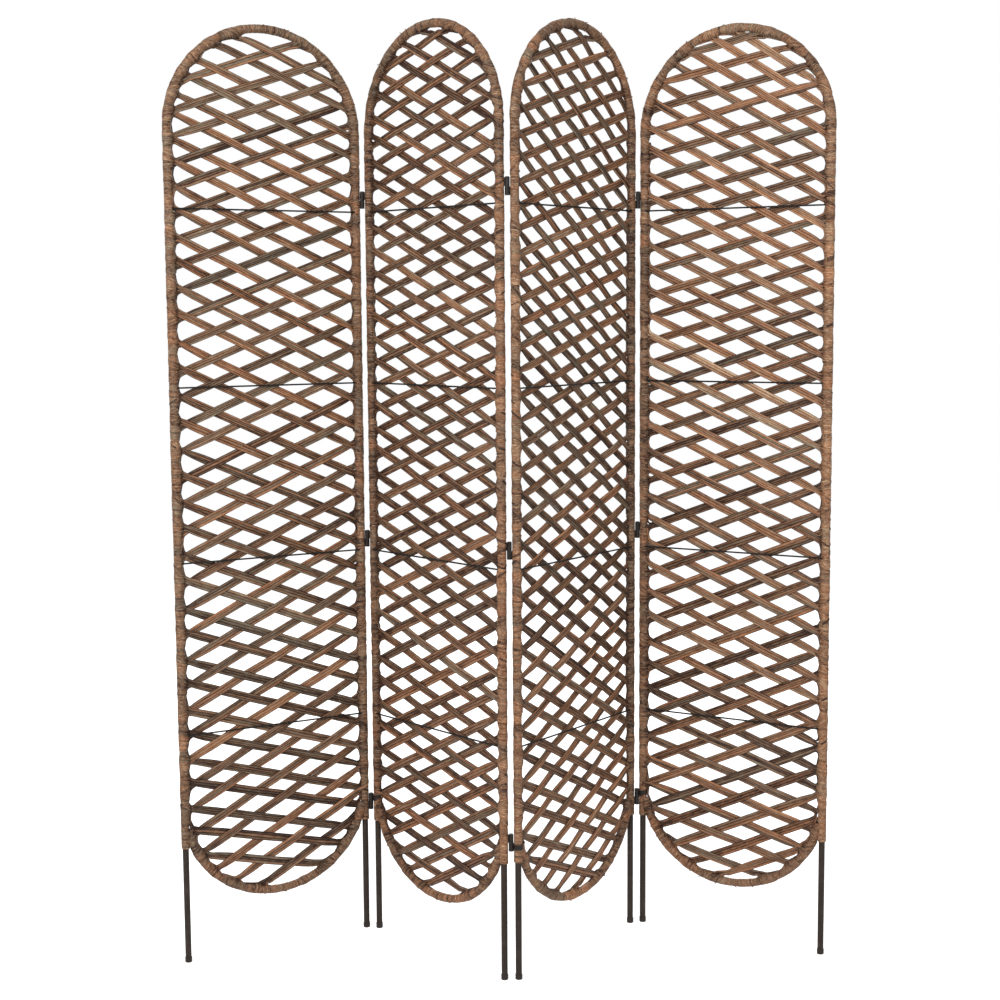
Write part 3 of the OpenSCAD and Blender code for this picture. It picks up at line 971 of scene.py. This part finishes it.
def steel(name, colour, worn, roughness, wear, gloss):
    """Dark painted steel with a dull sheen, rubbed here and there."""
    material, shader = new_material(name)
    net = Net(material)
    where = net.node("ShaderNodeTexCoord").outputs["Object"]
    patches = net.noise(where, scale=45, detail=4, rough=0.6)
    rubbed = net.math("MULTIPLY", net.spread(patches, 0.5, 0.75, 0.0, 1.0), wear)
    net.join(net.mix(rubbed, colour, worn), shader.inputs["Base Color"])
    low, high = roughness
    net.join(net.spread(patches, *NOISE_RANGE, high, low), shader.inputs["Roughness"])
    shader.inputs["Specular IOR Level"].default_value = gloss
    grain = net.noise(where, scale=700, detail=2, rough=0.5)
    net.bump(grain, strength=0.25, distance=0.0003, shader=shader)
    return material


def plastic(name, colour, rubbed_colour):
    """Moulded plastic with a fine grain, greyer where it is scuffed."""
    material, shader = new_material(name)
    net = Net(material)
    where = net.node("ShaderNodeTexCoord").outputs["Object"]
    scuffs = net.noise(where, scale=160, detail=3, rough=0.6)
    worn = net.spread(scuffs, 0.45, 0.8, 0.0, 0.7)
    net.join(net.mix(worn, colour, rubbed_colour), shader.inputs["Base Color"])
    net.join(net.spread(scuffs, *NOISE_RANGE, 0.45, 0.62), shader.inputs["Roughness"])
    shader.inputs["Specular IOR Level"].default_value = 0.2
    grain = net.noise(where, scale=900, detail=2, rough=0.5)
    net.bump(grain, strength=0.2, distance=0.0003, shader=shader)
    return material


# The seams' depth is how dark the painted shade in the creases between strands or turns is
STRAND_LOOK = dict(seam_shade_depth=0.50, streaks=0.14, patch_step=13.0, patch_depth=0.1)
falling_cane = cane("cane_falling", **STRAND_LOOK)
rising_cane = cane("cane_rising", **STRAND_LOOK)
winding_cane = cane("cane_wrap", seam_shade_depth=0.28, streaks=0.14, patch_step=6.0, patch_depth=0.22)
frame_steel = steel("frame_steel", srgb(.17, .135, .115), srgb(.25, .21, .185),
                    roughness=(.40, .55), wear=.6, gloss=.15)
hinge_steel = steel("hinge_steel", srgb(.11, .09, .08), srgb(.22, .20, .19),
                    roughness=(.38, .52), wear=.5, gloss=.2)
wire_steel = steel("wire", srgb(.11, .10, .095), srgb(.22, .20, .19),
                   roughness=(.40, .55), wear=.4, gloss=.12)
foot_plastic = plastic("foot_plastic", srgb(.15, .125, .11), srgb(.22, .19, .17))


def paint(node, material):
    """Gives a node of the CAD model a material"""
    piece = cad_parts[node]
    if not piece.data.materials:
        piece.data.materials.append(material)
    for slot in piece.material_slots:
        slot.material = material


# ---- The panels ----

# Whether the highest falling strip passes in front of the highest rising one
FALLING_FIRST = {1: True, 2: False, 3: True, 4: False}
# Shares of the inner strands that pass over the front of the left and the right leg
OVER_SHARES = {1: (0.2, 0.5), 2: (0.3, 0.7), 3: (0.3, 0.7), 4: (0.2, 0.7)}
# Heights of the hinges' middles, where the winding stays close to the bar
HINGE_HEIGHTS = (262.5, 266.0, 806.0, 819.0, 817.0, 1475.0, 1482.0, 1473.0)
HINGE_ROOM = 24.0
# How far before and after the start of the top arc the tint goes from the leg's to the arc's
TINT_BLEND = (150, 80)
# Distance between the cut ends on the legs and on the arcs, and where round the rod they lie
TIP_SPACING = (95.0, 40.0)
LEG_TIPS = ((20, 55),)
ARC_TIPS = ((20, 55), (125, 160))
# How far along an arc the first cut end is from the leg
TIPS_FROM = 25


def near_hinges(rod):
    """1 near the hinges and 0 elsewhere, at places along the legs"""
    def calm(a):
        z = rod.at(a)[0][:, 1]
        near = np.min([np.abs(z - h) for h in HINGE_HEIGHTS], axis=0)
        return (near < HINGE_ROOM).astype(float)
    return calm


def ends_on(rod, sets):
    """The ends of strips on a rod: place, slope and the strip's tint"""
    rows = []
    for strips, light, warm in sets:
        for strip in strips:
            for end in strip.ends:
                if end.rod is rod:
                    rows.append((end.a, end.slope, down(light, end.z) + strip.shift[0],
                                 down(warm, end.z) + strip.shift[1]))
    return rows


def wind_hoop(panel, over_top, under, sets, rng):
    """The winding of a panel's legs and arcs, with its cut ends."""
    left, right, top, low = WINDING_TINTS[panel.i]
    arc_from, arc_to = over_top.arc_from, over_top.arc_to
    before, after = TINT_BLEND
    stops = [arc_from - before, arc_from + after, arc_to - after, arc_to + before]

    def tint_over(a):
        return [np.interp(a, stops, [left[k], top[k], top[k], right[k]]) for k in (0, 1)]

    def bulge_over(a):
        on_arc = (a > arc_from) & (a < arc_to)
        return [np.where(on_arc, ARC_BULGE[k], LEG_BULGE[k]) for k in (0, 1)]

    def bulge_under(a):
        return [np.full(len(a), b) for b in ARC_BULGE]

    mass = Mass()
    tail = panel.bottom - WRAP_END
    leg_end = arc_to + panel.height
    stretches = Stretches(ends_on(over_top, sets), bulge_over, rng)
    wind(mass, over_top, -tail, leg_end + tail, stretches, tint_over, rng, near_hinges(over_top))
    weld = WELD_ANGLE * panel.r
    under_end = math.pi * panel.r
    stretches = Stretches(ends_on(under, sets), bulge_under, rng)
    wind(mass, under, weld, under_end - weld, stretches, lambda a: low, rng,
         lambda a: np.zeros(len(a)))
    on_legs, on_arcs = TIP_SPACING
    add_tips(mass, over_top, 0, arc_from - on_legs, on_legs, LEG_TIPS, left, rng)
    add_tips(mass, over_top, arc_from + TIPS_FROM, arc_to - TIPS_FROM - on_arcs, on_arcs, ARC_TIPS,
             top, rng)
    add_tips(mass, over_top, arc_to, leg_end - on_legs, on_legs, LEG_TIPS, right, rng)
    add_tips(mass, under, weld + TIPS_FROM, under_end - weld - TIPS_FROM - on_arcs, on_arcs,
             ARC_TIPS, low, rng)
    return mass


def dress_panel(i):
    """Replaces a panel's strips and wrapping, and paints its other nodes."""
    panel = Panel(i)
    body = f"panel_{i}"
    rng = np.random.default_rng(100 * i)
    rods = OverTop(panel), Under(panel)
    falling = strips_of(panel, rods, "falling", rng)
    rising = strips_of(panel, rods, "rising", rng)
    sets = ((falling, FALLING_LIGHT[i], FALLING_WARM[i]), (rising, RISING_LIGHT[i], RISING_WARM[i]))
    ways = (("falling", sets[0], rising, 1, falling_cane),
            ("rising", sets[1], falling, -1, rising_cane))
    for kind, (strips, light, warm), others, sign, material in ways:
        tables = crossings(strips, others, FALLING_FIRST[i], sign)
        mass = weave(strips, tables, light, warm, OVER_SHARES[i], rng)
        piece = mass.build(f"{kind}_cane_{i}", panel, material)
        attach(piece, body)
        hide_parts(f"{kind}_strips_{i}")

    piece = wind_hoop(panel, *rods, sets, rng).build(f"winding_{i}", panel, winding_cane)
    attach(piece, body)
    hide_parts(f"wrapping_{i}")

    for node, material in ((f"frame_{i}", frame_steel), (f"bottom_arc_{i}", frame_steel),
                           (f"cross_wires_{i}", wire_steel), (f"foot_caps_{i}", foot_plastic)):
        paint(node, material)


for i in PANELS:
    dress_panel(i)
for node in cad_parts:
    if node.startswith("hinge_"):
        paint(node, hinge_steel)

# ---- Floor, light and camera ----

FLOOR_SIZE = 14.0
FLOOR_WHITE = 0.86
# Adds to what the camera sees of the floor, so that it goes over into the white world
FLOOR_GLOW = 0.60
WORLD_LIGHT = 0.50


def add_floor():
    mesh = bpy.data.meshes.new("floor")
    h = FLOOR_SIZE / 2
    mesh.from_pydata([(-h, -h, 0), (h, -h, 0), (h, h, 0), (-h, h, 0)], [], [(0, 1, 2, 3)])
    floor = bpy.data.objects.new("floor", mesh)
    bpy.context.scene.collection.objects.link(floor)
    material, shader = new_material("floor")
    shader.inputs["Base Color"].default_value = (FLOOR_WHITE,) * 3 + (1,)
    shader.inputs["Roughness"].default_value = 0.9
    shader.inputs["Specular IOR Level"].default_value = 0.0
    shader.inputs["Emission Color"].default_value = (1, 1, 1, 1)
    net = Net(material)
    glow = net.math("MULTIPLY", net.looking_rays(), FLOOR_GLOW)
    net.join(glow, shader.inputs["Emission Strength"])
    mesh.materials.append(material)


def light_world():
    world = bpy.data.worlds.new("studio")
    bpy.context.scene.world = world
    world.use_nodes = True
    net = Net(world)
    background = next(n for n in net.tree.nodes if n.type == "BACKGROUND")
    background.inputs["Color"].default_value = (1, 1, 1, 1)
    strength = net.spread(net.looking_rays(), 0, 1, WORLD_LIGHT, 1.0)
    net.join(strength, background.inputs["Strength"])


def add_lamp(name, place, aim, size, power):
    data = bpy.data.lights.new(name, "AREA")
    data.shape = "RECTANGLE"
    data.size, data.size_y = size
    data.energy = power
    lamp = bpy.data.objects.new(name, data)
    bpy.context.scene.collection.objects.link(lamp)
    x, y, z = (aim[k] - place[k] for k in range(3))
    lamp.location = place
    lamp.rotation_euler = (math.atan2(math.hypot(x, y), -z), 0, math.atan2(y, x) - math.pi / 2)


LAMP_AIM = (0, 0, 0.9)
# Name, place, width and height, and power of each lamp
LAMPS = (
    ("key", (-1.2, -3.2, 3.0), (1.6, 1.6), 145),
    ("fill", (2.6, -2.2, 1.8), (2.0, 2.0), 15),
    ("back", (0.5, 3.4, 2.4), (2.4, 2.0), 70),
)

CAMERA_PLACE = (-0.0049, -3.3624, 1.2688)
CAMERA_PITCH = 0.1104
CAMERA_ROLL = -0.0065
CAMERA_LENS = 63.23


def add_camera():
    data = bpy.data.cameras.new("camera")
    data.sensor_width = 36
    data.lens = CAMERA_LENS
    data.clip_end = 100
    camera = bpy.data.objects.new("camera", data)
    bpy.context.scene.collection.objects.link(camera)
    camera.location = CAMERA_PLACE
    camera.rotation_euler = (math.pi / 2 - CAMERA_PITCH, 0, 0)
    camera.rotation_euler.rotate_axis("Z", CAMERA_ROLL)
    bpy.context.scene.camera = camera


add_floor()
light_world()
for name, place, size, power in LAMPS:
    add_lamp(name, place, LAMP_AIM, size, power)
add_camera()

scene = bpy.context.scene
scene.view_settings.view_transform = "Standard"
